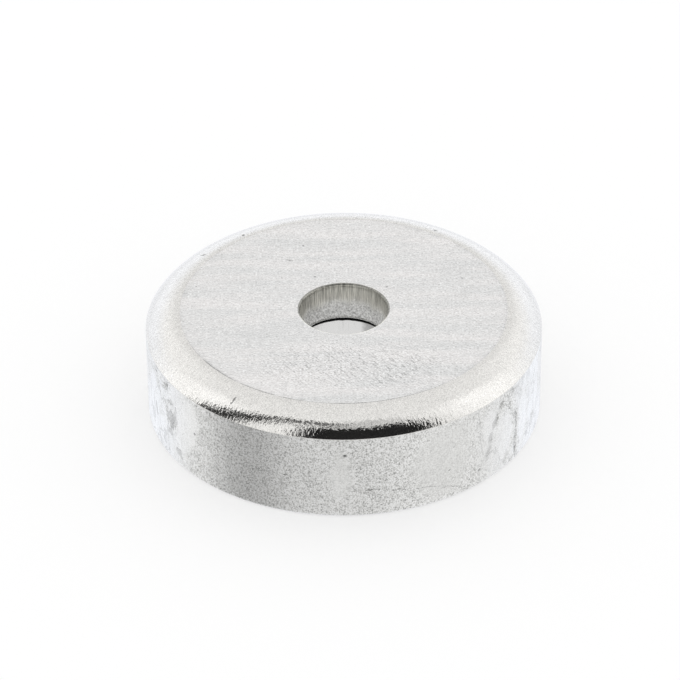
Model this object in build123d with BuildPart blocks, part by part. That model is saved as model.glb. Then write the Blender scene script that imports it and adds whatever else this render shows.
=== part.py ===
"""Pot magnet: a shallow steel cup with a punched fixing hole and a ring magnet bonded inside it.

Millimetres. The holding face lies on the XY plane at Z 0, with the origin on the axis of the pot.
The closed back of the pot, where the fixing hole opens, faces +Z.
"""

import os

from build123d import *

# Steel pot: a blanked and drawn cup, faced on the back and turned on the side.
pot_diameter = 25.0
pot_height = 7.0
base_thickness = 2.6
wall_thickness = 2.0
shoulder_inset = 2.2  # how far the rounded shoulder reaches in over the back
shoulder_drop = 1.15  # how far it falls before it meets the turned side in a sharp edge
floor_corner_radius = 0.3  # inside, where the wall meets the base
mouth_chamfer = 0.2  # inside edge of the rim
rim_chamfer = 0.15  # outside edge of the rim

# Fixing hole, punched through the base from the back.
hole_diameter = 5.5
hole_rollover = 0.15  # the edge that the punch drew in as it entered

# Ring magnet: sintered, tumbled and plated.
bore_clearance = 0.25  # how much the bore of the magnet stands back from the fixing hole
magnet_edge_radius = 0.25
face_recess = 0.1  # how far the magnet lies below the rim, so that the steel takes the knocks

# Resin bond: a film behind the magnet and a collar around it.
bond_film = 0.1
collar_width = 0.5
film_setback = 0.25  # how far the film stops short of the rounded edge of the bore
collar_recess = 0.5  # how deep the collar lies in its groove
meniscus_depth = 0.12

# Radii and levels that the pieces share.
pot_radius = pot_diameter / 2
cavity_radius = pot_radius - wall_thickness
hole_radius = hole_diameter / 2
floor_level = pot_height - base_thickness
flat_radius = pot_radius - shoulder_inset
shoulder_level = pot_height - shoulder_drop

magnet_radius = cavity_radius - collar_width
magnet_bore_radius = hole_radius + bore_clearance
magnet_back_level = floor_level - bond_film
film_inner_radius = magnet_bore_radius + magnet_edge_radius + film_setback


# The cup. Its shoulder is one arc that leaves the flat back smoothly.
with BuildPart() as steel_pot:
    with BuildSketch(Plane.XZ):
        with BuildLine():
            inside = Polyline(
                (pot_radius, 0),
                (cavity_radius, 0),
                (cavity_radius, floor_level),
                (hole_radius, floor_level),
                (hole_radius, pot_height),
                (flat_radius, pot_height),
            )
            shoulder = TangentArc(inside @ 1, (pot_radius, shoulder_level), tangent=(1, 0))
            Line(shoulder @ 1, inside @ 0)
        make_face()
    revolve(axis=Axis.Z)

    hole_edge = steel_pot.edges().group_by(Axis.Z)[-1].sort_by(SortBy.RADIUS)[0]
    fillet(hole_edge, radius=hole_rollover)

    floor_edges = steel_pot.edges().filter_by(GeomType.CIRCLE)
    floor_edges = floor_edges.filter_by(lambda edge: abs(edge.center().Z - floor_level) < bond_film)
    fillet(floor_edges.sort_by(SortBy.RADIUS)[-1], radius=floor_corner_radius)

    rim_edges = steel_pot.edges().group_by(Axis.Z)[0].sort_by(SortBy.RADIUS)
    chamfer(rim_edges[0], length=mouth_chamfer)
    rim_edges = steel_pot.edges().group_by(Axis.Z)[0].sort_by(SortBy.RADIUS)
    chamfer(rim_edges[-1], length=rim_chamfer)


# The magnet. Tumbling has rounded all four of its edges alike.
with BuildPart() as ring_magnet:
    with BuildSketch(Plane.XY.offset(face_recess)):
        Circle(magnet_radius)
        Circle(magnet_bore_radius, mode=Mode.SUBTRACT)
    extrude(amount=magnet_back_level - face_recess)
    fillet(ring_magnet.edges().filter_by(GeomType.CIRCLE), radius=magnet_edge_radius)


# The resin. It fills what the pot and the magnet leave free between them, and sinks in the groove
# to a hollow surface, as it wets both walls.
with BuildPart() as resin_bond:
    with BuildSketch(Plane.XZ):
        with BuildLine():
            meniscus = ThreePointArc(
                (magnet_radius, collar_recess),
                ((magnet_radius + cavity_radius) / 2, collar_recess + meniscus_depth),
                (cavity_radius, collar_recess),
            )
            Polyline(
                meniscus @ 1,
                (cavity_radius, floor_level),
                (film_inner_radius, floor_level),
                (film_inner_radius, collar_recess),
                meniscus @ 0,
            )
        make_face()
    revolve(axis=Axis.Z)
    add(steel_pot.part, mode=Mode.SUBTRACT)
    add(ring_magnet.part, mode=Mode.SUBTRACT)


steel_pot.part.label = "steel_pot"
ring_magnet.part.label = "ring_magnet"
resin_bond.part.label = "resin_bond"

os.makedirs("parts", exist_ok=True)
export_step(steel_pot.part, "parts/steel_pot.step")
export_step(ring_magnet.part, "parts/ring_magnet.step")
export_step(resin_bond.part, "parts/resin_bond.step")
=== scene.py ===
"""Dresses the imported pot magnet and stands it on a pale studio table.

The object is three turned pieces about the Z axis: a plated steel pot with a punched hole, a plated
ring magnet bonded inside it, and the resin that holds it. Each is made here as a surface of
revolution, worked out in whole arrays, with the small relief that the punch left in the hole, and
with a finish of its own on each stretch of its outline.

The sizes of the pieces, the marks and the studio are in millimetres, and MM turns them into the
metres of the meshes. Angles round the axis are measured from the front, which faces -Y, towards +X.
"""

from __future__ import annotations

import logging
import math
from dataclasses import dataclass, replace
from enum import Enum
from functools import reduce

import bpy
import numpy as np
from mathutils import Matrix, Vector


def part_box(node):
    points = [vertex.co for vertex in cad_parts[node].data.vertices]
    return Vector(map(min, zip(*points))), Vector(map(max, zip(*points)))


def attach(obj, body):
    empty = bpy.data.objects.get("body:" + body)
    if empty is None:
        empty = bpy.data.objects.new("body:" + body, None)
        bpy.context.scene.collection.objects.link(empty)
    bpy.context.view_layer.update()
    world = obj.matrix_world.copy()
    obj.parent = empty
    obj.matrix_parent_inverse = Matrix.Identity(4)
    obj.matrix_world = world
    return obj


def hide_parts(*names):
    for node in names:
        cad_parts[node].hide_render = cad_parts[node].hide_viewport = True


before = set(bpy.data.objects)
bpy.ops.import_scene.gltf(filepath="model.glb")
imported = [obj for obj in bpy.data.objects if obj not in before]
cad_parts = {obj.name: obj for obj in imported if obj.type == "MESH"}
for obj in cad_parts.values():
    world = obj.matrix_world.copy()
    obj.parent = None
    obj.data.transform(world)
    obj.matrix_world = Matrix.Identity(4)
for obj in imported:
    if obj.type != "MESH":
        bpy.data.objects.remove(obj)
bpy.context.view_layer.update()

MM = 0.001
TURNS = 480  # steps of a surface round the axis
MIDDLE = 0.5  # the value that a noise swings about
WHITE = (1.0, 1.0, 1.0, 1.0)

LOG = logging.getLogger("pot_magnet")

Socket = bpy.types.NodeSocket
Number = float | Socket
Span = tuple[float, float]
Triple = tuple[float, float, float]
Colour = Triple


class Zone(Enum):
    """The stretches of the outlines that are finished differently."""

    BACK = "faced_back"
    SHOULDER = "satin_shoulder"
    SIDE = "turned_side"
    RIM = "ground_rim"
    HOLE = "punched_hole"
    INSIDE = "plated_inside"
    MAGNET = "bright_magnet"
    RESIN = "cured_resin"


# ---------------------------------------------------------------------------------------------
# Surfaces
# ---------------------------------------------------------------------------------------------


@dataclass(frozen=True)
class Corner:
    """A corner of an outline, in millimetres, and the straight run that follows it.

    Each of the two is cut into a number of steps and has its own finish.
    """

    r: float
    z: float
    round: float
    arc_steps: int
    arc_zone: Zone
    run_steps: int
    run_zone: Zone


@dataclass(frozen=True)
class Outline:
    """A closed outline of rounded corners in the half plane of radius and level.

    It is walked with the solid on its left. A corner that turns by an angle t takes the arc
    start + round * (sin f * heading + (1 - cos f) * inward), f going from 0 to t, where start lies
    round * tan(t / 2) before the corner. Stations on the straight runs are crowded towards both ends
    by the share (1 - cos(pi s)) / 2, so that smooth shading turns only beside the edges.
    """

    corners: tuple[Corner, ...]

    def stations(self) -> tuple[np.ndarray, list[Zone]]:
        """Walks the outline once.

        Returns:
            The stations as rows of radius and level in metres, and the zone that starts at each.
        """
        spots = np.array([(corner.r, corner.z) for corner in self.corners])
        ahead = np.roll(spots, -1, axis=0) - spots
        ahead /= np.linalg.norm(ahead, axis=1)[:, None]
        before = np.roll(ahead, 1, axis=0)
        left = np.stack([-before[:, 1], before[:, 0]], axis=1)
        turn = np.arctan2((left * ahead).sum(1), (before * ahead).sum(1))
        rounds = np.array([corner.round for corner in self.corners])
        setback = (rounds * np.tan(np.abs(turn) / 2))[:, None]
        starts, ends = spots - before * setback, spots + ahead * setback
        rows: list[np.ndarray] = []
        zones: list[Zone] = []
        for place, corner in enumerate(self.corners):
            bend = np.linspace(0, abs(turn[place]), corner.arc_steps, endpoint=False)[:, None]
            inward = left[place] * np.sign(turn[place])
            swing = np.sin(bend) * before[place] + (1 - np.cos(bend)) * inward
            rows.append(starts[place] + corner.round * swing)
            share = (1 - np.cos(np.pi * np.linspace(0, 1, corner.run_steps, endpoint=False))) / 2
            onward = starts[(place + 1) % len(self.corners)]
            rows.append(ends[place] + (onward - ends[place]) * share[:, None])
            zones += [corner.arc_zone] * corner.arc_steps + [corner.run_zone] * corner.run_steps
        return np.concatenate(rows) * MM, zones


@dataclass(frozen=True)
class Ripple:
    """A small random relief that closes on itself round the axis.

    Its height at an angle and a distance along the outline is depth times the sum of
    cos(m angle + k along + phase), over waves of equal weight and divided by the root of half their
    number. m is a whole number, so that the relief closes, and stretch draws it out along the outline.
    The depth and the finest and coarsest wavelengths are in metres.
    """

    depth: float
    finest: float
    coarsest: float
    seed: int
    stretch: float = 1.0
    waves: int = 90

    def height(self, angle: np.ndarray, along: np.ndarray, radius: float) -> np.ndarray:
        """Works the relief out on a grid.

        Args:
            angle: Angles round the axis, one row for each.
            along: Distances along the outline, one column for each.
            radius: The typical radius, which turns wavelengths into whole numbers of waves.

        Returns:
            The heights, in metres, with depth as their root mean square.
        """
        source = np.random.default_rng(self.seed)
        wave = np.exp(source.uniform(np.log(self.finest), np.log(self.coarsest), self.waves))
        heading = source.uniform(0, np.pi, self.waves)
        phase = source.uniform(0, 2 * np.pi, self.waves)
        m = np.round(2 * np.pi * radius / wave * np.cos(heading))
        k = 2 * np.pi / wave * np.sin(heading) / self.stretch
        turn = m[:, None, None] * angle[None, :, None]
        travel = k[:, None, None] * along[None, None, :]
        waves = np.cos(turn + travel + phase[:, None, None])
        return self.depth * waves.sum(0) / math.sqrt(self.waves / 2)


@dataclass
class TurnedSurface:
    """An outline carried round the Z axis, in metres.

    The point at angle a and station s is (r(s) sin a, -r(s) cos a, z(s)). Relief moves it along the
    outline's own outward direction, (dz, -dr) over its length.
    """

    outline: Outline

    def __post_init__(self) -> None:
        """Works out the stations, the distances between them and the outward directions."""
        rows, self.zones = self.outline.stations()
        self.r, self.z = rows.T
        step_r = np.roll(self.r, -1) - np.roll(self.r, 1)
        step_z = np.roll(self.z, -1) - np.roll(self.z, 1)
        length = np.hypot(step_r, step_z)
        self.out_r, self.out_z = step_z / length, -step_r / length
        gaps = np.hypot(np.diff(self.r), np.diff(self.z))
        self.along = np.concatenate([[0.0], np.cumsum(gaps)])
        self.angle = np.linspace(0, 2 * np.pi, TURNS, endpoint=False)
        self.relief = np.zeros((TURNS, len(self.r)))

    def roughen(self, ripple: Ripple, weight: np.ndarray, radius: float) -> None:
        """Adds a ripple, weighted station by station, that stays below the surface's own level.

        Args:
            ripple: The relief to add.
            weight: From 0 to 1 for each station of the outline.
            radius: The radius at which the ripple's wavelengths are true.
        """
        height = ripple.height(self.angle, self.along, radius)
        self.relief += (height - height.max()) * weight[None, :]

    def mesh(self, name: str, finishes: dict[Zone, bpy.types.Material]) -> bpy.types.Object:
        """Makes the closed mesh and gives each face the material of its zone.

        Args:
            name: The piece's name.
            finishes: The material of each zone of the outline.

        Returns:
            The object, at the origin and riding on the root body.
        """
        r = self.r[None, :] + self.relief * self.out_r[None, :]
        z = self.z[None, :] + self.relief * self.out_z[None, :]
        sin, cos = np.sin(self.angle)[:, None], np.cos(self.angle)[:, None]
        points = np.stack([r * sin, -r * cos, z], axis=-1).reshape(-1, 3)

        stations = len(self.r)
        here = np.arange(TURNS)[:, None] * stations + np.arange(stations)[None, :]
        on = np.roll(here, -1, axis=0)
        faces = np.stack([here, on, np.roll(on, -1, axis=1), np.roll(here, -1, axis=1)], axis=-1)
        faces = faces.reshape(-1, 4)

        mesh = bpy.data.meshes.new(name)
        mesh.vertices.add(len(points))
        mesh.vertices.foreach_set("co", points.astype(np.float32).ravel())
        mesh.loops.add(faces.size)
        mesh.loops.foreach_set("vertex_index", faces.astype(np.int32).ravel())
        mesh.polygons.add(len(faces))
        mesh.polygons.foreach_set("loop_start", np.arange(0, faces.size, 4, dtype=np.int32))
        mesh.polygons.foreach_set("use_smooth", np.ones(len(faces), dtype=bool))
        order = list(finishes)
        for zone in order:
            mesh.materials.append(finishes[zone])
        of_station = np.array([order.index(zone) for zone in self.zones], dtype=np.int32)
        mesh.polygons.foreach_set("material_index", np.tile(of_station, TURNS))
        mesh.update(calc_edges=True)
        mesh.validate()

        piece = bpy.data.objects.new(name, mesh)
        bpy.context.scene.collection.objects.link(piece)
        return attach(piece, "root")


def ease(value: np.ndarray, low: float, high: float) -> np.ndarray:
    """Rises smoothly from 0 at low to 1 at high: t * t * (3 - 2 t)."""
    t = np.clip((value - low) / (high - low), 0, 1)
    return t * t * (3 - 2 * t)


def within(value: np.ndarray, rise: Span, drop: Span) -> np.ndarray:
    """1 between two stretches, rising smoothly over the first and falling over the second."""
    return ease(value, *rise) * (1 - ease(value, *drop))


# ---------------------------------------------------------------------------------------------
# Material recipes
# ---------------------------------------------------------------------------------------------


class Graph:
    """Short names for shader nodes, so that a recipe reads as a formula. Places are in millimetres."""

    def __init__(self, tree: bpy.types.NodeTree) -> None:
        """Starts an empty tree.

        Args:
            tree: The node tree of a material or a world.
        """
        self.tree = tree
        tree.nodes.clear()

    def node(self, kind: str, inputs: dict | None = None, **settings: object) -> bpy.types.Node:
        """Adds a node, sets its own settings and feeds its inputs.

        Args:
            kind: The node's type, without the leading ShaderNode.
            inputs: A value or a socket for each input, by name or number.
            **settings: The node's own properties.

        Returns:
            The node.
        """
        made = self.tree.nodes.new("ShaderNode" + kind)
        for key, value in settings.items():
            setattr(made, key, value)
        for key, value in (inputs or {}).items():
            if isinstance(value, Socket):
                self.tree.links.new(value, made.inputs[key])
            elif value is not None:
                made.inputs[key].default_value = value
        return made

    def math(self, operation: str, *values: Number) -> Socket:
        """One step of arithmetic on numbers."""
        return self.node("Math", dict(enumerate(values)), operation=operation).outputs[0]

    def vector(self, operation: str, *values: object) -> Socket:
        """One step of arithmetic on vectors."""
        made = self.node("VectorMath", dict(enumerate(values)), operation=operation)
        return made.outputs["Value" if operation == "LENGTH" else "Vector"]

    def chain(self, operation: str, values: tuple[Number, ...]) -> Number:
        """Takes the values together, from the first to the last, by one kind of arithmetic."""
        return reduce(lambda so_far, value: self.math(operation, so_far, value), values)

    def add(self, *values: Number) -> Number:
        """The sum of the values."""
        return self.chain("ADD", values)

    def times(self, *values: Number) -> Number:
        """The product of the values."""
        return self.chain("MULTIPLY", values)

    def most(self, *values: Number) -> Number:
        """The largest of the values."""
        return self.chain("MAXIMUM", values)

    def size(self, value: Number) -> Socket:
        """The value without its sign."""
        return self.math("ABSOLUTE", value)

    def ease(self, value: Number, low: float, high: float, start: float = 0.0, end: float = 1.0) -> Socket:
        """Goes smoothly from start at low to end at high."""
        feed = {"Value": value, "From Min": low, "From Max": high, "To Min": start, "To Max": end}
        return self.node("MapRange", feed, interpolation_type="SMOOTHSTEP").outputs[0]

    def fall(self, value: Number, low: float, high: float) -> Socket:
        """Falls smoothly from 1 at low to 0 at high."""
        return self.ease(value, low, high, 1.0, 0.0)

    def within(self, value: Number, rise: Span, drop: Span) -> Number:
        """1 between two stretches, rising smoothly over the first and falling over the second."""
        return self.times(self.ease(value, *rise), self.fall(value, *drop))

    def blend(self, share: Number, low: object, high: object) -> Socket:
        """A colour between two."""
        low, high = [(*c, 1.0) if isinstance(c, tuple) else c for c in (low, high)]
        return self.node("Mix", {0: share, 6: low, 7: high}, data_type="RGBA").outputs[2]

    def lerp(self, share: Number, low: Number, high: Number) -> Socket:
        """A number between two."""
        return self.node("Mix", {0: share, 2: low, 3: high}, data_type="FLOAT").outputs[0]

    def noise(self, at: Socket, detail: float = 2.0, rough: float = 0.5) -> Socket:
        """Smooth noise about 0.5, with one cycle to each unit of the place."""
        feed = {"Vector": at, "Scale": 1.0, "Detail": detail, "Roughness": rough}
        return self.node("TexNoise", feed, noise_dimensions="3D").outputs[0]

    def grain(self, at: Socket, cycles: Triple, detail: float = 2.0, rough: float = 0.5) -> Socket:
        """Smooth noise about 0.5, with so many cycles a millimetre in each direction."""
        return self.noise(self.scaled(at, *cycles), detail, rough)

    def swing(self, noise: Number, *amounts: Number) -> Number:
        """Noise about 0.5 turned into a change about 0 and multiplied by the amounts."""
        return self.times(self.add(noise, -MIDDLE), *amounts)

    def varied(self, base: Number, *swings: tuple[Number, Number]) -> Number:
        """The base with several noises about 0.5 on it, each with the amount of its swing."""
        return self.add(base, *(self.swing(noise, amount) for noise, amount in swings))

    def marked(self, base: Number, *marks: tuple[Number, float]) -> Number:
        """The base with several marks on it, each with the amount that it adds at full strength."""
        return self.add(base, *(self.times(mark, amount) for mark, amount in marks))

    def place(self) -> Socket:
        """Where the point is on the piece, in millimetres."""
        coords = self.node("TexCoord").outputs["Object"]
        return self.vector("SCALE", coords, None, None, 1 / MM)

    def scaled(self, at: Socket, x: float, y: float, z: float) -> Socket:
        """The place with each direction stretched by its own factor."""
        return self.vector("MULTIPLY", at, (x, y, z))

    def turned(self, at: Socket, degrees: float) -> Socket:
        """The place turned about Z."""
        feed = {"Vector": at, "Angle": math.radians(degrees)}
        return self.node("VectorRotate", feed, rotation_type="Z_AXIS").outputs[0]

    def wobbled(self, at: Socket, scale: float, reach: float) -> Socket:
        """Moves the place a little by noise, so that an edge drawn there isn't even.

        Args:
            at: The place, in millimetres.
            scale: The noise's cycles a millimetre.
            reach: How far the noise would move the place if it went from 0 to 1.

        Returns:
            The moved place.
        """
        noise = self.node("TexNoise", {"Vector": at, "Scale": scale, "Detail": 2.0}).outputs["Color"]
        moved = self.vector("SUBTRACT", noise, (MIDDLE, MIDDLE, MIDDLE))
        return self.vector("ADD", at, self.vector("SCALE", moved, None, None, reach * 2))

    def spot(self, at: Socket, mark: Mark) -> Number:
        """Draws a small oval mark.

        Args:
            at: The place, in millimetres.
            mark: The mark.

        Returns:
            The mark's strength inside, easing to 0 at the oval's edge.
        """
        moved = self.vector("SUBTRACT", at, (mark.x, mark.y, 0.0))
        if mark.heading:
            moved = self.turned(moved, -mark.heading)
        away = self.vector("LENGTH", self.scaled(moved, 1 / mark.length, 1 / mark.width, 0.0))
        return self.times(self.fall(away, 0.35, 1.0), mark.strength)

    def spots(self, at: Socket, marks: tuple[Mark, ...]) -> Number:
        """The strongest of several marks."""
        return self.most(*(self.spot(at, mark) for mark in marks))

    def bump(self, height: Number, microns: float) -> Socket:
        """A surface direction turned by a height from 0 to 1 that stands so many microns proud."""
        feed = {"Strength": 1.0, "Distance": microns * 0.001 * MM, "Height": height}
        return self.node("Bump", feed).outputs[0]

    def grey(self, value: Number, tint: Colour | Socket) -> Socket:
        """A tint at a brightness."""
        level = self.node("CombineXYZ", {0: value, 1: value, 2: value}).outputs[0]
        return self.vector("MULTIPLY", level, tint)

    def coat(self, colour: Socket, roughness: Number, normal: Socket, metallic: float = 1.0) -> None:
        """Closes a recipe.

        Args:
            colour: The colour of the surface.
            roughness: How rough it is.
            normal: Its direction.
            metallic: 1 for bare plated metal and 0 for resin.
        """
        feed = {"Base Color": colour, "Metallic": metallic, "Roughness": roughness, "Normal": normal}
        shader = self.node("BsdfPrincipled", feed)
        self.node("OutputMaterial", {"Surface": shader.outputs[0]})


@dataclass(frozen=True)
class Mark:
    """A small oval mark: its middle, half length and half width in millimetres, and its heading."""

    x: float
    y: float
    length: float
    width: float
    heading: float = 0.0
    strength: float = 1.0


@dataclass(frozen=True)
class Trace:
    """A scratch or vein on the wall through points of degrees round it and millimetres up it."""

    points: tuple[Span, ...]
    width: float
    strength: float


@dataclass(frozen=True)
class Axes:
    """Sockets that say where a point is on a turned piece."""

    at: Socket
    y: Socket
    z: Socket
    r: Socket
    degrees: Socket


def axes(g: Graph) -> Axes:
    """Finds the place, the distance from the axis and the angle round it from the front.

    Args:
        g: The graph to add to.

    Returns:
        The sockets, in millimetres and degrees.
    """
    at = g.place()
    x, y, z = g.node("SeparateXYZ", {0: at}).outputs
    r = g.vector("LENGTH", g.scaled(at, 1.0, 1.0, 0.0))
    turn = g.math("ARCTAN2", x, g.times(y, -1.0))
    return Axes(at, y, z, r, g.times(turn, 180 / math.pi))


def wrapped(g: Graph, a: Axes, along: Socket, around: float, outward: float) -> Socket:
    """A place for noise that runs round the axis without a seam.

    The first two parts are the point's direction from the axis, so that a given angle is the same
    length at every radius, and the third is the distance along the outline.

    Args:
        g: The graph to add to.
        a: Where the point is.
        along: The distance along the outline, in millimetres.
        around: The length of the unit circle's radius, in noise cycles.
        outward: The noise cycles in a millimetre along the outline.

    Returns:
        The place, with one noise cycle to each unit.
    """
    x, y, _ = g.node("SeparateXYZ", {0: g.vector("NORMALIZE", g.scaled(a.at, 1.0, 1.0, 0.0))}).outputs
    parts = {0: g.times(x, around), 1: g.times(y, around), 2: g.times(along, outward)}
    return g.node("CombineXYZ", parts).outputs[0]


@dataclass(frozen=True)
class Finish:
    """A finish: what it is called, its tint and how rough it is."""

    name: str
    tint: Colour
    roughness: float

    def material(self) -> bpy.types.Material:
        """Makes the material and lets the recipe fill it.

        Returns:
            The material.
        """
        made = bpy.data.materials.new(self.name)
        made.use_nodes = True
        made.diffuse_color = (*self.tint, 1.0)
        self.recipe(Graph(made.node_tree))
        return made

    def recipe(self, g: Graph) -> None:
        """Fills the material's tree.

        Args:
            g: The empty tree.
        """
        raise NotImplementedError


@dataclass(frozen=True)
class FacedBack(Finish):
    """The flat back: rolled plate, lightly brushed across, with pits, smears and rubbed strokes.

    Near its edge runs the line that the facing tool left. It is plain over the front sector, all but
    gone elsewhere, and torn into a ragged stretch at the left. Headings and sectors are in degrees.
    """

    level: float = 0.82
    warm_tint: Colour = (1.015, 0.997, 0.985)
    bump_microns: float = 5.0
    grain_heading: float = 5.0
    stroke_heading: float = 53.0
    stroked: Mark = Mark(0.8, -6.3, 7.5, 3.4)
    line_radius: float = 10.3
    line_drift: float = 0.22
    plain_sector: tuple[Span, Span] = ((-78.0, -56.0), (14.0, 42.0))
    torn_sector: tuple[Span, Span] = ((-68.0, -54.0), (-38.0, -20.0))
    pits: tuple[Mark, ...] = (
        Mark(-2.59, 7.19, 0.11, 0.09),
        Mark(-1.81, 3.58, 0.11, 0.09),
        Mark(-3.91, 3.49, 0.09, 0.07, strength=0.7),
        Mark(-9.36, 2.54, 0.09, 0.07, strength=0.6),
        Mark(7.55, 3.33, 0.13, 0.08, strength=0.7),
        Mark(2.76, 2.37, 0.13, 0.10),
        Mark(2.97, -5.07, 0.12, 0.08),
        Mark(-3.45, 5.50, 0.34, 0.09, -12.0, 0.8),
    )
    smears: tuple[Mark, ...] = (
        Mark(5.13, -1.59, 0.5, 0.16, 8.0, 0.7),
        Mark(-4.28, 7.09, 0.5, 0.16, -8.0, 0.8),
        Mark(1.82, 2.84, 0.4, 0.12, -15.0, 0.6),
        Mark(2.63, 3.63, 0.3, 0.12, 10.0, 0.6),
        Mark(7.43, 1.40, 0.9, 0.35, 5.0, 0.8),
        Mark(-6.6, 3.2, 2.4, 0.5, 0.0, 0.35),
        Mark(4.6, -3.6, 1.6, 0.4, 12.0, 0.3),
    )

    def recipe(self, g: Graph) -> None:
        """Broad bands and fine grain across, strokes near the front, pits, smears and the line.

        Args:
            g: The empty tree.
        """
        a = axes(g)
        bands = g.grain(a.at, (0.10, 0.75, 0.0), 4.0, 0.55)
        cloud = g.grain(a.at, (0.35, 0.8, 0.0), 3.0, 0.6)
        grain = g.grain(g.turned(a.at, self.grain_heading), (2.6, 7.5, 0.0), 3.0, 0.65)
        tooth = g.grain(a.at, (8.0, 15.0, 0.0), 1.0, 0.6)
        rubbed = g.grain(g.turned(a.at, self.stroke_heading), (1.2, 7.0, 0.0), 2.0, 0.6)
        broken = g.noise(wrapped(g, a, a.r, 7.0, 0.0), 3.0, 0.6)

        front = g.spot(g.wobbled(a.at, 0.4, 1.2), self.stroked)
        strokes = g.times(front, g.ease(rubbed, 0.52, 0.68))
        pits = g.spots(g.wobbled(a.at, 3.0, 0.10), self.pits)
        smears = g.times(g.spots(g.wobbled(a.at, 1.6, 0.35), self.smears), g.ease(grain, 0.42, 0.62))
        line = self.line(g, a, broken, tooth)
        dull = g.times(g.ease(a.r, self.line_radius - 0.5, self.line_radius), g.ease(broken, 0.3, 0.7))

        coarse = g.add(g.swing(grain, 0.52), g.swing(tooth, 0.75))
        value = g.varied(self.level, (bands, 0.25), (cloud, 0.12))
        value = g.add(value, g.times(coarse, g.marked(1.0, (front, 0.5))))
        value = g.marked(value, (strokes, -0.24), (smears, -0.13), (dull, -0.05))
        value = g.marked(value, (pits, -0.40), (line, -0.44))
        tint = g.blend(g.ease(bands, 0.35, 0.65), self.tint, self.warm_tint)
        roughness = g.marked(g.varied(self.roughness, (cloud, 0.12)), (strokes, -0.05))
        height = g.marked(g.times(grain, 0.6), (tooth, 0.25), (strokes, -0.35), (pits, -2.5), (line, -1.2))
        g.coat(g.grey(value, tint), roughness, g.bump(height, self.bump_microns))

    def line(self, g: Graph, a: Axes, broken: Socket, tooth: Socket) -> Number:
        """Draws the line of the facing tool, which drifts a little in and out.

        Args:
            g: The graph to add to.
            a: Where the point is.
            broken: Noise round the axis that breaks the line up.
            tooth: Fine noise that breaks up its torn stretch.

        Returns:
            From 0 away from the line to 1 on it.
        """
        drift = g.swing(g.noise(wrapped(g, a, a.r, 1.6, 0.0), 1.0), self.line_drift)
        away = g.size(g.add(a.r, drift, -self.line_radius))
        seen = g.lerp(g.within(a.degrees, *self.plain_sector), 0.14, 1.0)
        plain = g.times(g.fall(away, 0.01, 0.065), g.ease(broken, 0.28, 0.48), seen)
        ragged = g.within(a.degrees, *self.torn_sector)
        torn = g.times(g.fall(away, 0.05, 0.20), g.ease(tooth, 0.46, 0.60), ragged, 0.7)
        return g.most(plain, torn)


@dataclass(frozen=True)
class SatinShoulder(Finish):
    """The drawn shoulder: bright under the plating, pulled into fine radial creases.

    Its stretches are in millimetres from the axis: the dull start, where the creases deepen, and the
    edge against the wall.
    """

    level: float = 0.80
    bump_microns: float = 12.0
    inner: Span = (10.3, 11.2)
    pulled: Span = (11.0, 11.8)
    edge: Span = (12.1, 12.5)
    marks: tuple[Mark, ...] = (
        Mark(-9.01, 6.34, 0.22, 0.12),
        Mark(5.96, 8.96, 0.16, 0.12),
        Mark(-6.48, 8.54, 0.16, 0.12),
        Mark(-6.72, -9.40, 0.26, 0.05, 50.0),
        Mark(-6.87, -9.56, 0.10, 0.07),
    )

    def recipe(self, g: Graph) -> None:
        """Creases along the outline, deeper where it was pulled most, swells and a few small marks.

        Args:
            g: The empty tree.
        """
        a = axes(g)
        along = g.marked(a.r, (a.z, -1.0))
        creases = g.noise(wrapped(g, a, along, 70.0, 2.8), 2.0, 0.6)
        swells = g.noise(wrapped(g, a, along, 26.0, 1.6))
        tooth = g.noise(wrapped(g, a, along, 150.0, 12.0), 1.0, 0.6)
        cloud = g.noise(wrapped(g, a, along, 5.0, 0.4))
        marks = g.spots(g.wobbled(a.at, 3.0, 0.12), self.marks)
        inner = g.times(g.fall(a.r, *self.inner), g.ease(cloud, 0.30, 0.62))

        value = g.varied(self.level, (cloud, 0.08), (creases, 0.26), (tooth, 0.60))
        value = g.marked(value, (inner, -0.05), (marks, -0.50))
        roughness = g.marked(g.varied(self.roughness, (cloud, 0.10)), (g.ease(a.r, *self.edge), 0.02))
        drawn = g.times(creases, g.lerp(g.ease(a.r, *self.pulled), 0.5, 1.5))
        height = g.marked(drawn, (swells, 0.8), (tooth, 0.15), (marks, -1.5))
        g.coat(g.grey(value, self.tint), roughness, g.bump(height, self.bump_microns))


@dataclass(frozen=True)
class Wear:
    """Sockets that say, from 0 to 1, what the wear of the outer wall is at a point.

    They are the flank it lies on, rubbed shine, all that is smooth, what is left of the matt grain,
    grey veins, scuffs, their darker edges, specks, and fine lines.
    """

    flank: Number
    shiny: Number
    smooth: Number
    matt: Number
    veins: Number
    scuffs: Number
    scuff_edge: Number
    specks: Number
    lines: Number


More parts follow.
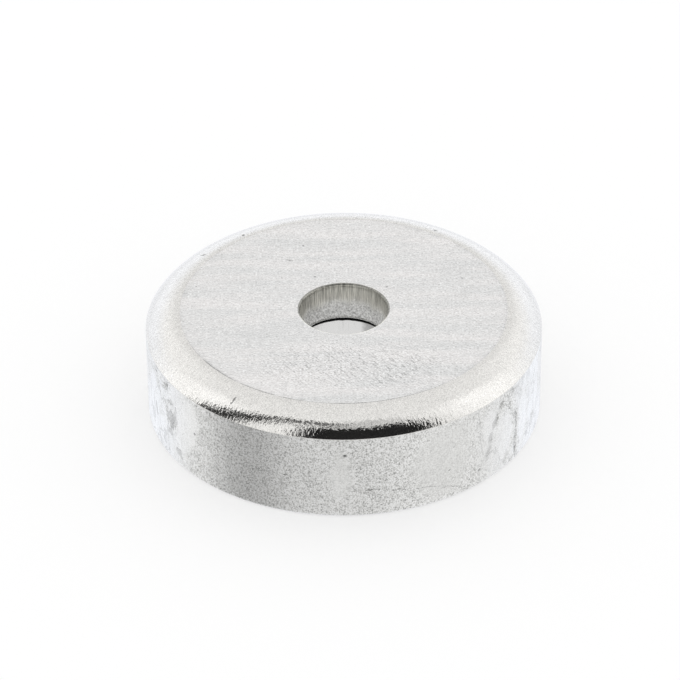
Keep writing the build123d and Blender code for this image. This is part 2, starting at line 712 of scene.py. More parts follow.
@dataclass(frozen=True)
class TurnedSide(Finish):
    """The outer wall: matt and finely mottled, worn smooth in veined patches towards both flanks.

    The groups of marks lie on the unrolled wall, with their middles in degrees round it and
    millimetres up it and their sizes in millimetres. The worn strip and the calm patch are in
    millimetres throughout. Sectors are in degrees, and the flanks are on both sides of a middle that is
    a little to the left of the front. Past the flanks the grain grows softer, and over the left front
    single grains are painted lighter, a painted highlight for the light they catch.
    """

    level: float = 0.835
    worn_tint: Colour = (0.995, 1.0, 1.006)
    bump_microns: float = 20.0
    radius: float = 12.5
    middle: float = -4.0
    flanks: tuple[Span, Span] = ((34.0, 56.0), (82.0, 112.0))
    softer_past: Span = (62.0, 100.0)
    painted_glint_sector: tuple[Span, Span] = ((-52.0, -40.0), (-22.0, -10.0))
    strip: Mark = Mark(-0.3, 3.0, 0.95, 2.6, strength=0.9)
    calm: Mark = Mark(6.4, 3.2, 3.1, 3.8, strength=0.8)
    overlap: float = 1.25
    smooth: tuple[Mark, ...] = (
        Mark(-52.0, 3.9, 1.55, 2.6, 0.0, 1.6),
        Mark(-53.5, 2.2, 1.10, 1.3, 0.0, 1.4),
        Mark(46.0, 4.2, 0.90, 1.5, 0.0, 1.3),
        Mark(52.5, 2.6, 1.10, 2.4, 0.0, 1.4),
        Mark(62.5, 2.6, 0.90, 2.6, 0.0, 1.4),
    )
    specks: tuple[Mark, ...] = (
        Mark(0.1, 4.65, 0.20, 0.14),
        Mark(-47.7, 3.38, 0.12, 0.12),
        Mark(41.5, 1.22, 0.12, 0.12),
        Mark(-16.9, 2.89, 0.17, 0.10),
        Mark(-16.3, 2.62, 0.14, 0.10),
        Mark(-69.3, 5.40, 0.12, 0.12),
        Mark(-73.3, 0.45, 0.14, 0.12),
    )
    scuffs: tuple[Mark, ...] = (
        Mark(-61.6, 3.0, 0.22, 1.05, 0.0, 0.9),
        Mark(-57.0, 3.4, 0.22, 1.10, 0.0, 1.0),
        Mark(-59.9, 2.05, 0.50, 0.22, 0.0, 0.9),
        Mark(-59.6, 4.3, 0.55, 0.24, 0.0, 0.9),
        Mark(-59.2, 3.1, 0.60, 1.20, 0.0, 0.5),
        Mark(-55.0, 1.05, 0.75, 0.26, -38.0, 0.8),
        Mark(-63.0, 5.1, 0.9, 0.30, 30.0, 0.6),
        Mark(-70.0, 2.4, 1.0, 0.28, -60.0, 0.5),
        Mark(-53.2, 5.13, 0.16, 0.14, 0.0, 0.8),
        Mark(33.0, 3.85, 0.16, 0.35, -30.0, 0.4),
        Mark(31.0, 2.2, 0.34, 0.12, 40.0, 0.4),
    )
    traces: tuple[Trace, ...] = (
        Trace(((5.0, 2.03), (10.5, 1.95)), 0.06, 1.0),
        Trace(((11.0, 1.92), (19.5, 1.66), (28.0, 1.25), (36.0, 0.53)), 0.05, 0.6),
        Trace(((52.4, 5.4), (49.2, 4.74), (47.0, 3.63), (45.4, 2.67), (44.8, 1.53)), 0.34, 0.5),
        Trace(((57.8, 4.17), (58.6, 2.55), (58.2, 1.44), (57.8, 0.4)), 0.20, 0.55),
        Trace(((54.0, 4.6), (56.5, 3.9), (57.8, 3.2)), 0.12, 0.5),
        Trace(((41.8, 5.3), (41.6, 4.2), (42.2, 3.0), (43.5, 2.0)), 0.10, 0.35),
    )

    def recipe(self, g: Graph) -> None:
        """Mottle that fades where the wall is worn, and veins, scuffs, specks and fine lines.

        Args:
            g: The empty tree.
        """
        a = axes(g)
        ring = wrapped(g, a, a.z, self.radius, 1.0)
        mottle = g.grain(ring, (5.8, 5.8, 5.8), 3.0, 0.65)
        tooth = g.grain(ring, (11.0, 11.0, 11.0), 1.0, 0.6)
        blotch = g.grain(ring, (1.9, 1.9, 1.9), 2.0, 0.6)
        cloud = g.grain(ring, (0.55, 0.55, 0.7), 3.0, 0.55)
        streaks = g.grain(ring, (3.4, 3.4, 0.9), 3.0, 0.6)
        wear = self.wear(g, a, ring, blotch, cloud)
        matt = wear.matt
        fleck = g.times(g.fall(mottle, 0.33, 0.44), matt)
        # Painted highlight: over the left front single grains are painted lighter, for light they catch.
        painted_glint = g.times(g.ease(tooth, 0.60, 0.72), matt, g.within(a.degrees, *self.painted_glint_sector))

        value = g.marked(g.varied(self.level, (cloud, 0.12)), (wear.smooth, 0.08))
        value = g.add(value, g.swing(mottle, matt, 0.95))
        value = g.varied(value, (tooth, g.marked(0.15, (matt, 1.40))))
        value = g.marked(value, (painted_glint, 0.22), (wear.shiny, 0.03))
        value = g.varied(value, (blotch, g.marked(0.06, (matt, 0.20))))
        value = g.marked(value, (fleck, -0.05), (wear.veins, -0.17))
        value = g.marked(value, (wear.scuffs, -0.14), (wear.scuff_edge, -0.28))
        value = g.add(value, g.swing(streaks, wear.flank, 0.24))
        value = g.marked(value, (wear.specks, -0.48), (wear.lines, -0.42))
        tint = g.blend(g.times(wear.smooth, wear.flank), self.tint, self.worn_tint)
        roughness = g.marked(self.roughness, (wear.smooth, -0.07), (wear.scuffs, 0.12))
        height = g.add(g.times(mottle, matt), g.times(tooth, g.marked(0.1, (matt, 0.4))))
        height = g.marked(height, (wear.smooth, 0.18), (wear.specks, -1.2))
        height = g.marked(height, (wear.lines, -1.0), (wear.scuffs, -0.4))
        g.coat(g.grey(value, tint), roughness, g.bump(height, self.bump_microns))

    def wear(self, g: Graph, a: Axes, ring: Socket, blotch: Socket, cloud: Socket) -> Wear:
        """Works out where the wall has worn, and how.

        The flanks have tall smooth patches with ragged edges. Veins run over them where a slow noise
        passes through its middle.

        Args:
            g: The graph to add to.
            a: Where the point is.
            ring: The place round the wall, for noise.
            blotch: Noise that breaks up the edges of the scuffs.
            cloud: Slow noise that the veins come and go with.

        Returns:
            The wear.
        """
        unrolled = {0: g.times(a.degrees, self.reach), 1: a.z, 2: 0.0}
        on_wall = g.node("CombineXYZ", unrolled).outputs[0]
        aside = g.size(g.add(a.degrees, -self.middle))
        flank = g.within(aside, *self.flanks)
        shiny = g.spots(g.wobbled(on_wall, 0.9, 0.5), self.wall_marks(self.smooth))
        shiny = g.math("MINIMUM", shiny, 1.0)
        patch = g.grain(g.wobbled(ring, 0.9, 0.5), (0.34, 0.34, 0.26), 5.0, 0.62)
        patches = g.times(flank, g.ease(patch, 0.38, 0.56))
        smooth = g.most(patches, g.spot(g.wobbled(on_wall, 0.8, 0.5), self.strip), shiny)
        calm = g.spot(g.wobbled(on_wall, 0.5, 1.0), self.calm)
        matt = g.marked(1.0, (g.most(smooth, calm), -0.87))
        matt = g.times(matt, g.lerp(g.ease(aside, *self.softer_past), 1.0, 0.45))

        slow = g.grain(g.wobbled(ring, 0.8, 0.5), (0.50, 0.50, 0.30), 3.0, 0.6)
        vein = g.fall(g.size(g.add(slow, -MIDDLE)), 0.006, 0.036)
        veins = g.times(flank, vein, g.ease(cloud, 0.36, 0.56), g.marked(1.0, (shiny, -0.8)))
        rubbed = g.spots(g.wobbled(on_wall, 1.6, 0.45), self.wall_marks(self.scuffs))
        scuffs = g.ease(rubbed, 0.28, 0.37)
        scuff_edge = g.times(scuffs, g.fall(rubbed, 0.36, 0.54), g.ease(blotch, 0.34, 0.56))
        specks = g.spots(g.wobbled(on_wall, 4.0, 0.08), self.wall_marks(self.specks))
        lines = g.spots(g.wobbled(on_wall, 1.4, 0.22), self.stretches())
        return Wear(flank, shiny, smooth, matt, veins, scuffs, scuff_edge, specks, lines)

    @property
    def reach(self) -> float:
        """How many millimetres of the wall a degree takes up."""
        return math.radians(self.radius)

    def wall_marks(self, marks: tuple[Mark, ...]) -> tuple[Mark, ...]:
        """The marks with their angles round the axis turned into millimetres along the wall."""
        return tuple(replace(mark, x=mark.x * self.reach) for mark in marks)

    def stretches(self) -> tuple[Mark, ...]:
        """Lays the scratches and veins out.

        Returns:
            A slender mark for each straight stretch, long enough to overlap the next.
        """
        marks = []
        for trace in self.traces:
            for (turn_a, za), (turn_b, zb) in zip(trace.points, trace.points[1:]):
                xa, xb = turn_a * self.reach, turn_b * self.reach
                half = math.hypot(xb - xa, zb - za) / 2
                heading = math.degrees(math.atan2(zb - za, xb - xa))
                middle = ((xa + xb) / 2, (za + zb) / 2)
                marks.append(Mark(*middle, half * self.overlap, trace.width, heading, trace.strength))
        return tuple(marks)


@dataclass(frozen=True)
class GroundRim(Finish):
    """The rim of the mouth: ground flat, with fine circular lines and bright rubbed high spots."""

    level: float = 0.72
    bump_microns: float = 6.0

    def recipe(self, g: Graph) -> None:
        """Circular lines from noise that is fine across them and long round them.

        Args:
            g: The empty tree.
        """
        a = axes(g)
        lines = g.noise(wrapped(g, a, a.r, 2.0, 14.0), 2.0, 0.6)
        rubbed = g.ease(g.grain(a.at, (0.8, 0.8, 0.8), 3.0, 0.6), 0.50, 0.62)
        value = g.marked(g.varied(self.level, (lines, 0.16)), (rubbed, 0.07))
        roughness = g.varied(g.marked(self.roughness, (rubbed, -0.10)), (lines, 0.10))
        g.coat(g.grey(value, self.tint), roughness, g.bump(lines, self.bump_microns))


@dataclass(frozen=True)
class PunchedHole(Finish):
    """The wall of the fixing hole: a burnished land, scored by the punch, above a torn lower part.

    Its rolled-over lip has a painted highlight at the front and painted shade at the back and the
    sides, and the wall is painted brighter at the front and the flanks. Levels up the hole are in
    millimetres.
    """

    torn_shade: float = 0.76
    torn_tint: Colour = (1.0, 1.0, 0.985)
    land_shade: float = 0.60
    painted_lip_shade: float = 0.31
    bump_microns: float = 8.0
    radius: float = 2.75
    land_rise: Span = (5.25, 6.15)
    lip_rise: Span = (6.88, 6.94)
    painted_lip_highlight: Span = (0.4, 1.6)
    flanks: Span = (85.0, 135.0)

    def recipe(self, g: Graph) -> None:
        """Fine scores down the land and coarse grains below it, with a ragged border between.

        Args:
            g: The empty tree.
        """
        a = axes(g)
        ring = wrapped(g, a, a.z, self.radius, 1.0)
        scores = g.grain(ring, (13.0, 13.0, 0.8), 3.0, 0.65)
        grains = g.grain(ring, (8.0, 8.0, 7.0), 3.0, 0.7)
        border = g.swing(g.grain(ring, (1.2, 1.2, 0.2)), 1.1)
        land = g.ease(g.add(a.z, border), *self.land_rise)
        torn_value = g.varied(self.torn_shade, (grains, 1.8))
        land_value = g.varied(self.land_shade, (scores, 1.5))
        # Painted light: the wall is painted 1.3 times brighter at the front and the flanks than at the
        # back.
        painted_light = g.lerp(g.fall(g.size(a.degrees), *self.flanks), 1.0, 1.30)
        wall_value = g.times(g.lerp(land, torn_value, land_value), painted_light)
        # Painted highlight and painted shade on the lip: full white at the front, dark at the back and the
        # sides.
        near = g.ease(g.times(a.y, -1.0), *self.painted_lip_highlight)
        lip_value = g.lerp(near, g.varied(self.painted_lip_shade, (scores, 0.6)), 1.0)
        value = g.lerp(g.ease(a.z, *self.lip_rise), wall_value, lip_value)
        roughness = g.lerp(land, self.roughness + 0.10, self.roughness)
        height = g.lerp(land, g.times(grains, 1.5), scores)
        tint = g.blend(land, self.torn_tint, self.tint)
        g.coat(g.grey(value, tint), roughness, g.bump(height, self.bump_microns))


@dataclass(frozen=True)
class PlatedInside(Finish):
    """The unseen walls of the cup: plain plating."""

    level: float = 0.60
    bump_microns: float = 6.0

    def recipe(self, g: Graph) -> None:
        """Faint even mottle.

        Args:
            g: The empty tree.
        """
        mottle = g.grain(axes(g).at, (3.0, 3.0, 3.0), 3.0, 0.6)
        value = g.varied(self.level, (mottle, 0.2))
        roughness = g.marked(self.roughness, (mottle, 0.1))
        g.coat(g.grey(value, self.tint), roughness, g.bump(mottle, self.bump_microns))


@dataclass(frozen=True)
class BrightPlate(Finish):
    """The magnet: smooth bright plating over a sintered ring, with faint swells and fine hairlines.

    Near-black painted shade lies over the upper edge of its bore, down to a ragged line, for the
    shade in the gap under the cup's base, and its bore has one painted dark reflection. Radii and
    levels are in millimetres, and headings in degrees.
    """

    level: float = 0.87
    gap_shade_level: float = 0.012
    bump_microns: float = 5.0
    gap_shade_rise: Span = (4.023, 4.047)
    gap_shade_radii: Span = (3.3, 3.6)
    hair_headings: Span = (27.0, 112.0)
    painted_reflection_patch: Mark = Mark(1.75, 2.4, 0.85, 0.8)

    def recipe(self, g: Graph) -> None:
        """Orange-peel swells, hairlines in two directions, cloudy handling marks, and painted shade and
        reflection.

        Args:
            g: The empty tree.
        """
        a = axes(g)
        peel = g.grain(a.at, (2.2, 2.2, 2.2))
        first, second = self.hair_headings
        hair_a = g.grain(g.turned(a.at, first), (0.5, 16.0, 1.0))
        hair_b = g.grain(g.turned(a.at, second), (0.6, 13.0, 1.0))
        hairs = g.most(g.ease(hair_a, 0.62, 0.74), g.ease(hair_b, 0.64, 0.76))
        cloud = g.grain(a.at, (0.5, 0.5, 0.9), 4.0, 0.6)
        ragged = g.swing(g.grain(a.at, (2.5, 2.5, 0.5), 3.0), 0.10)
        near_bore = g.fall(a.r, *self.gap_shade_radii)
        # Painted shade: near-black colour over the top of the bore, for the shade in the gap under the
        # cup's base.
        gap_shade = g.times(g.ease(g.add(a.z, ragged), *self.gap_shade_rise), near_bore)
        # Painted reflection: the bore is painted darker where it mirrors a dark part of the room.
        dull = g.spot(g.wobbled(a.at, 1.5, 0.3), self.painted_reflection_patch)
        value = g.marked(g.varied(self.level, (cloud, 0.14)), (hairs, -0.05), (dull, -0.36))
        value = g.lerp(gap_shade, value, self.gap_shade_level)
        roughness = g.marked(self.roughness, (g.ease(cloud, 0.4, 0.7), 0.08), (hairs, 0.10))
        height = g.marked(peel, (hairs, -0.25))
        g.coat(g.grey(value, self.tint), roughness, g.bump(height, self.bump_microns))


@dataclass(frozen=True)
class CuredResin(Finish):
    """The bond: dark casting resin with a dull skin and a few fine bubbles."""

    level: float = 0.055
    bump_microns: float = 12.0
    bubble_cells: float = 2.6

    def recipe(self, g: Graph) -> None:
        """Dark body colour, bubbles as small pits, and a skin that varies in dullness.

        Args:
            g: The empty tree.
        """
        at = axes(g).at
        cloud = g.grain(at, (1.4, 1.4, 1.4), 3.0, 0.6)
        cells = g.node("TexVoronoi", {"Vector": at, "Scale": self.bubble_cells}).outputs["Distance"]
        bubble = g.fall(cells, 0.06, 0.15)
        value = g.marked(g.varied(self.level, (cloud, 0.03)), (bubble, -0.02))
        roughness = g.varied(self.roughness, (cloud, 0.3))
        height = g.marked(g.times(cloud, 0.8), (bubble, -1.0))
        g.coat(g.grey(value, self.tint), roughness, g.bump(height, self.bump_microns), metallic=0.0)


# ---------------------------------------------------------------------------------------------
# The object
# ---------------------------------------------------------------------------------------------


@dataclass(frozen=True)
class SteelPot:
    """The cup, drawn from plate, punched through its back, turned outside and ground at the mouth.

    Sizes are in millimetres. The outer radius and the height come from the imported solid. Up the
    hole, the torn part and the land each rise over one stretch and fade over another.
    """

    base_thickness: float = 2.6
    wall_thickness: float = 2.0
    shoulder_inset: float = 2.2
    shoulder_drop: float = 1.15
    shoulder_edge: float = 0.06
    shoulder_seam: float = 0.002
    floor_corner: float = 0.3
    mouth_chamfer: float = 0.2
    rim_chamfer: float = 0.15
    rim_round: float = 0.08
    rim_edge: float = 0.06
    hole_radius: float = 2.75
    hole_rollover: float = 0.15
    hole_foot: float = 0.04
    torn_levels: tuple[Span, Span] = ((4.4, 4.55), (5.5, 5.9))
    land_levels: tuple[Span, Span] = ((5.4, 6.0), (6.8, 7.0))
    lip_rise: Span = (6.7, 7.0)
    lip_reach: float = 0.35
    torn_relief: Ripple = Ripple(0.007 * MM, 0.12 * MM, 0.5 * MM, 11)
    land_relief: Ripple = Ripple(0.003 * MM, 0.10 * MM, 0.4 * MM, 12, stretch=8.0)
    lip_relief: Ripple = Ripple(0.006 * MM, 0.5 * MM, 2.5 * MM, 13, stretch=6.0)

    def outline(self) -> Outline:
        """Lays the section out from the hole, round the inside, the rim, the wall and the back.

        The shoulder is one arc, tangent to the flat. It meets the wall at a definite edge, which only
        has a fine rounding of its own, so the arc is a little shorter there by that rounding and by a
        seam.

        Returns:
            The outline.
        """
        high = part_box("steel_pot")[1]
        radius, height = round(high[0] / MM, 4), round(high[2] / MM, 4)
        cavity, floor = radius - self.wall_thickness, height - self.base_thickness
        edge = height - self.shoulder_drop
        arc_radius = (self.shoulder_inset**2 + self.shoulder_drop**2) / (2 * self.shoulder_drop)
        sweep = math.asin(self.shoulder_inset / arc_radius)
        tangent = arc_radius * math.tan(sweep / 2)
        edge_tangent = self.shoulder_edge * math.tan((math.pi / 2 - sweep) / 2)
        crown = radius - self.shoulder_inset + tangent
        arc_radius *= (tangent - edge_tangent - self.shoulder_seam) / tangent
        mouth, rim = cavity + self.mouth_chamfer, radius - self.rim_chamfer
        return Outline((
            Corner(self.hole_radius, floor, self.hole_foot, 2, Zone.HOLE, 5, Zone.INSIDE),
            Corner(cavity, floor, self.floor_corner, 3, Zone.INSIDE, 3, Zone.INSIDE),
            Corner(cavity, self.mouth_chamfer, self.rim_round, 3, Zone.RIM, 1, Zone.RIM),
            Corner(mouth, 0.0, self.rim_round, 3, Zone.RIM, 8, Zone.RIM),
            Corner(rim, 0.0, self.rim_edge, 3, Zone.RIM, 1, Zone.RIM),
            Corner(radius, self.rim_chamfer, self.rim_round, 3, Zone.SIDE, 26, Zone.SIDE),
            Corner(radius, edge, self.shoulder_edge, 5, Zone.SHOULDER, 1, Zone.SHOULDER),
            Corner(crown, height, arc_radius, 44, Zone.SHOULDER, 28, Zone.BACK),
            Corner(self.hole_radius, height, self.hole_rollover, 9, Zone.HOLE, 44, Zone.HOLE),
        ))

    def build(self) -> bpy.types.Object:
        """Makes the cup with the relief that the punch left and dresses it.

        Returns:
            The pot.
        """
        surface = TurnedSurface(self.outline())
        r, z, hole = surface.r / MM, surface.z / MM, self.hole_radius
        wall = 1 - ease(r, hole, hole + 0.05)
        lip = (1 - ease(r, hole, hole + self.lip_reach)) * ease(z, *self.lip_rise)
        surface.roughen(self.torn_relief, wall * within(z, *self.torn_levels), hole * MM)
        surface.roughen(self.land_relief, wall * within(z, *self.land_levels), hole * MM)
        surface.roughen(self.lip_relief, lip, hole * MM)
        finishes = {
            Zone.BACK: FacedBack("faced_back", (1.0, 0.998, 0.99), 0.55),
            Zone.SHOULDER: SatinShoulder("satin_shoulder", (1.015, 1.0, 0.972), 0.09),
            Zone.SIDE: TurnedSide("turned_side", (1.0, 1.0, 0.985), 0.33),
            Zone.RIM: GroundRim("ground_rim", (1.0, 0.99, 0.98), 0.30),
            Zone.HOLE: PunchedHole("punched_hole", (1.0, 0.985, 0.90), 0.30),
            Zone.INSIDE: PlatedInside("plated_inside", (1.0, 1.0, 0.98), 0.35),
        }
        pot = surface.mesh("pot", {zone: finish.material() for zone, finish in finishes.items()})
        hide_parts("steel_pot")
        return pot


@dataclass(frozen=True)
class RingMagnet:
    """The magnet: a plated ring with rounded edges, a little below the rim. Millimetres."""

    radius: float = 10.0
    bore: float = 3.0
    face: float = 0.1
    back: float = 4.3
    edge: float = 0.25

    def build(self) -> bpy.types.Object:
        """Makes the ring and dresses it.

        Returns:
            The magnet.
        """
        plate = Zone.MAGNET
        surface = TurnedSurface(Outline((
            Corner(self.bore, self.face, self.edge, 8, plate, 18, plate),
            Corner(self.radius, self.face, self.edge, 8, plate, 4, plate),
            Corner(self.radius, self.back, self.edge, 6, plate, 6, plate),
            Corner(self.bore, self.back, self.edge, 12, plate, 24, plate),
        )))
        material = BrightPlate("bright_magnet_plate", (1.0, 0.995, 0.985), 0.10).material()
        magnet = surface.mesh("magnet", {plate: material})
        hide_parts("ring_magnet")
        return magnet


@dataclass(frozen=True)
class ResinBond:
    """The resin: a collar round the magnet and a thin film between it and the cup. Millimetres."""

    inner: float = 10.0
    outer: float = 10.5
    film_inner: float = 3.5
    film_low: float = 4.3
    film_high: float = 4.4
    film_round: float = 0.02
    recess: float = 0.5
    sag: float = 0.12
    skin_share: float = 0.94
    magnet_edge: float = 0.25
    cup_corner: float = 0.3

    def build(self) -> bpy.types.Object:
        """Makes the bond and dresses it.

        Between the magnet and the wall the resin sets to a hollow skin, an arc that sags by so much.
        It takes up the skin's share of the width and runs on straight to both sides.

        Returns:
            The bond.
        """
        half = (self.outer - self.inner) / 2
        skin = (half**2 + self.sag**2) / (2 * self.sag)
        rise = half * math.tan(math.asin(half / skin))
        resin = Zone.RESIN
        surface = TurnedSurface(Outline((
            Corner(self.film_inner, self.film_low, self.film_round, 2, resin, 3, resin),
            Corner(self.inner, self.film_low, self.magnet_edge, 4, resin, 3, resin),
            Corner(self.inner, self.recess, 0.0, 1, resin, 1, resin),
            Corner(self.inner + half, self.recess + rise, skin * self.skin_share, 10, resin, 1, resin),
            Corner(self.outer, self.recess, 0.0, 1, resin, 3, resin),
            Corner(self.outer, self.film_high, self.cup_corner, 4, resin, 3, resin),
            Corner(self.film_inner, self.film_high, self.film_round, 2, resin, 1, resin),
        )))
        material = CuredResin("cured_resin", (1.0, 0.99, 0.96), 0.5).material()
        bond = surface.mesh("bond", {resin: material})
        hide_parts("resin_bond")
        return bond


@dataclass(frozen=True)
class PotMagnet:
    """The whole part."""

    pot: SteelPot = SteelPot()
    magnet: RingMagnet = RingMagnet()
    bond: ResinBond = ResinBond()

    def build(self) -> list[bpy.types.Object]:
        """Builds the pieces in the order in which they are put together."""
        return [self.pot.build(), self.bond.build(), self.magnet.build()]


# ---------------------------------------------------------------------------------------------
# The studio
# ---------------------------------------------------------------------------------------------


@dataclass(frozen=True)
class Card:
    """A flag or a panel round the table, as seen from it, in degrees, and how bright it looks.

    Its sides lean by lean degrees of azimuth for each degree above the horizon.
    """

    left: float
    right: float
    low: float
    high: float
    level: float
    soft: float = 3.0
    lean: float = 0.0

    def cover(self, g: Graph, azimuth: Number, up: Number) -> Number:
        """How much of the card is seen in a direction.

        Args:
            g: The world's graph.
            azimuth: Degrees round from the front.
            up: Degrees above the horizon.

        Returns:
            1 on the card and 0 away from it, with soft edges.
        """
        across = g.marked(azimuth, (up, -self.lean)) if self.lean else azimuth
        left, right, low, high = [
            (side - self.soft, side + self.soft) for side in (self.left, self.right, self.low, self.high)
        ]
        return g.times(g.within(across, left, right), g.ease(up, *low), g.fall(up, *high))


@dataclass(frozen=True)
class Studio:
    """A white tent round a pale table, with panels at both sides and dark flags.

    The stretches over which one part of the tent gives way to the next are degrees to either side of
    the front, or above the horizon.
    """

    roof: float = 0.91
    wall: float = 1.03
    panels: float = 1.16
    front: float = 0.97
    table: float = 0.80
    table_behind: float = 0.99
    behind: float = 1.10
    under: float = 0.80
    roof_past: Span = (60.0, 110.0)
    wall_sides: tuple[Span, Span] = ((60.0, 80.0), (150.0, 174.0))
    wall_top: Span = (34.0, 62.0)
    panel_sides: tuple[Span, Span] = ((68.0, 90.0), (102.0, 128.0))
    panel_top: Span = (48.0, 68.0)
    behind_past: Span = (120.0, 160.0)
    behind_top: Span = (8.0, 32.0)
    table_past: Span = (85.0, 140.0)
    horizon: Span = (-3.0, 3.0)
    cool_past: Span = (100.0, 138.0)
    cool_top: Span = (10.0, 34.0)
    tint: Colour = (1.0, 1.0, 0.995)
    cool_tint: Colour = (0.975, 0.995, 1.035)
    cards: tuple[Card, ...] = (
        Card(-62.0, 4.0, 67.0, 77.0, 0.12, 2.0),
        Card(0.0, 70.0, 66.0, 82.0, 0.62, 5.0),
        Card(-30.0, 54.0, 22.0, 63.0, 0.015, 2.0),
        Card(-94.0, -73.0, 8.0, 74.0, 0.03, 2.0, 0.35),
        Card(-78.0, -36.0, -89.0, -4.0, 0.34, 4.0),
        Card(-40.0, 26.0, -89.0, -4.0, 0.68, 10.0),
    )
    table_half: float = 600.0
    table_drop: float = 0.02
    unseen_past: Span = (12.0, 12.6)
    lamp_power: float = 0.02
    lamp_size: float = 300.0
    lamp_place: Triple = (-160.0, -100.0, 420.0)

    def world(self) -> None:
        """Sets what surrounds the table: even light, and what polished metal sees in it."""
        world = bpy.data.worlds.new("studio")
        world.use_nodes = True
        bpy.context.scene.world = world
        g = Graph(world.node_tree)
        way = g.vector("NORMALIZE", g.node("TexCoord").outputs["Generated"])
        x, y, z = g.node("SeparateXYZ", {0: way}).outputs
        azimuth = g.times(g.math("ARCTAN2", x, g.times(y, -1.0)), 180 / math.pi)
        up = g.times(g.math("ARCSINE", z), 180 / math.pi)
        aside = g.size(azimuth)

        sky = g.lerp(g.ease(aside, *self.roof_past), self.front, self.roof)
        sides = g.times(g.within(aside, *self.wall_sides), g.fall(up, *self.wall_top))
        sky = g.lerp(sides, sky, self.wall)
        panels = g.times(g.within(aside, *self.panel_sides), g.fall(up, *self.panel_top))
        sky = g.lerp(panels, sky, self.panels)
        behind = g.times(g.ease(aside, *self.behind_past), g.fall(up, *self.behind_top))
        sky = g.lerp(behind, sky, self.behind)
        below = g.lerp(g.ease(aside, *self.table_past), self.table, self.table_behind)
        level = g.lerp(g.ease(up, *self.horizon), below, sky)
        for card in self.cards:
            level = g.lerp(card.cover(g, azimuth, up), level, card.level)

        cool = g.times(g.ease(aside, *self.cool_past), g.fall(up, *self.cool_top))
        colour = g.grey(level, g.blend(cool, self.tint, self.cool_tint))
        seen = g.node("Background", {"Color": colour, "Strength": 1.0})
        even = g.node("Background", {"Color": WHITE, "Strength": 1.0})
        glossy = g.node("LightPath").outputs["Is Glossy Ray"]
        mixed = g.node("MixShader", {0: glossy, 1: even.outputs[0], 2: seen.outputs[0]})
        g.node("OutputWorld", {"Surface": mixed.outputs[0]})

    def floor(self) -> bpy.types.Object:
        """Lays the pale table under the rim.

        It keeps the part's shadow. Polished metal sees it only under the part itself, and beyond that
        sees the tent. From below it is clear.

        Returns:
            The table.
        """
        half, level = self.table_half * MM, -self.table_drop * MM
        corners = [(-half, -half, level), (half, -half, level), (half, half, level), (-half, half, level)]
        mesh = bpy.data.meshes.new("table_top")
        mesh.from_pydata(corners, [], [(0, 1, 2, 3)])
        material = bpy.data.materials.new("pale_table")
        material.use_nodes = True
        g = Graph(material.node_tree)
        matt = g.node("BsdfDiffuse", {"Color": WHITE}).outputs[0]
        white = g.node("Emission", {"Color": WHITE, "Strength": 1.0}).outputs[0]
        plain = g.node("Emission", {"Color": WHITE, "Strength": self.under}).outputs[0]
        clear = g.node("BsdfTransparent").outputs[0]
        path = g.node("LightPath").outputs
        shown = g.node("MixShader", {0: 0.5, 1: matt, 2: white}).outputs[0]
        top = g.node("MixShader", {0: path["Is Camera Ray"], 1: plain, 2: shown}).outputs[0]
        below = g.node("NewGeometry").outputs["Backfacing"]
        beyond = g.times(path["Is Glossy Ray"], g.ease(axes(g).r, *self.unseen_past))
        either = g.node("MixShader", {0: g.most(below, beyond), 1: top, 2: clear}).outputs[0]
        g.node("OutputMaterial", {"Surface": either})
        mesh.materials.append(material)
        table = bpy.data.objects.new("table_top", mesh)
        bpy.context.scene.collection.objects.link(table)
        return table

    def lamp(self) -> bpy.types.Object:
        """Hangs a broad soft lamp over the left shoulder of the camera, for the shadow alone.

        Returns:
            The lamp.
        """
        data = bpy.data.lights.new("softbox", "AREA")
        data.shape, data.size, data.energy = "DISK", self.lamp_size * MM, self.lamp_power
        lamp = bpy.data.objects.new("softbox", data)
        lamp.location = Vector(self.lamp_place) * MM
        lamp.rotation_euler = (-Vector(lamp.location)).to_track_quat("-Z", "Y").to_euler()
        lamp.visible_glossy = False
        bpy.context.scene.collection.objects.link(lamp)
        return lamp


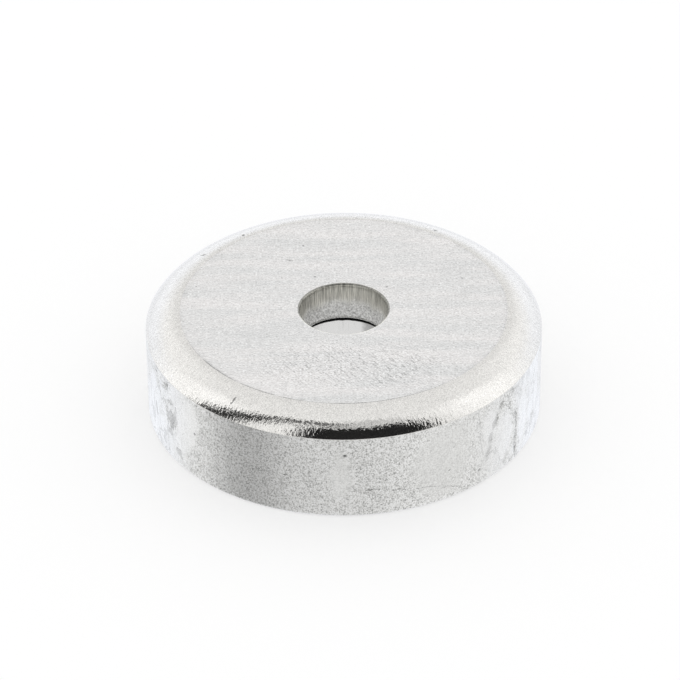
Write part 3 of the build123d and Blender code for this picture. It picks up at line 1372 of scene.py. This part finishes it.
@dataclass(frozen=True)
class Viewpoint:
    """Where the camera stands. Lengths in millimetres, angles in degrees.

    It looks from the front, at a distance from the middle of the part, at a point close to that
    middle, and is tipped a little about its own axis.
    """

    middle: float = 3.75
    distance: float = 250.0
    elevation: float = 34.78
    aim: tuple[float, float, float] = (-0.25, 0.388, 4.309)
    tip: float = 0.44
    lens: float = 208.72
    sensor: float = 36.0

    def set_up(self) -> bpy.types.Object:
        """Makes the camera and hands it to the scene.

        Returns:
            The camera.
        """
        climb = math.radians(self.elevation)
        away = Vector((0.0, -math.cos(climb), math.sin(climb))) * self.distance
        eye = Vector((0.0, 0.0, self.middle)) + away
        back = (eye - Vector(self.aim)).normalized()
        level = Vector((0.0, 0.0, 1.0)).cross(back).normalized()
        rise = back.cross(level)
        sin, cos = math.sin(math.radians(self.tip)), math.cos(math.radians(self.tip))
        right, up = level * cos - rise * sin, level * sin + rise * cos
        data = bpy.data.cameras.new("camera")
        data.sensor_width, data.lens = self.sensor, self.lens
        data.clip_start, data.clip_end = 0.01, 5.0
        camera = bpy.data.objects.new("camera", data)
        place = eye * MM
        camera.matrix_world = Matrix((
            (right.x, up.x, back.x, place.x),
            (right.y, up.y, back.y, place.y),
            (right.z, up.z, back.z, place.z),
            (0.0, 0.0, 0.0, 1.0),
        ))
        bpy.context.scene.collection.objects.link(camera)
        bpy.context.scene.camera = camera
        return camera


def main() -> None:
    """Builds the part, sets the studio round it and notes the sizes."""
    logging.basicConfig(level=logging.INFO, format="%(name)s: %(message)s")
    bpy.context.scene.view_settings.view_transform = "Standard"
    for piece in PotMagnet().build():
        low, high = np.min(piece.bound_box, axis=0), np.max(piece.bound_box, axis=0)
        size = " x ".join(f"{side / MM:.2f}" for side in high - low)
        LOG.info("%s: %d faces, %s mm", piece.name, len(piece.data.polygons), size)
    studio = Studio()
    studio.world()
    LOG.info("%s laid", studio.floor().name)
    LOG.info("%s hung", studio.lamp().name)
    LOG.info("%s placed", Viewpoint().set_up().name)


if __name__ == "__main__":
    main()
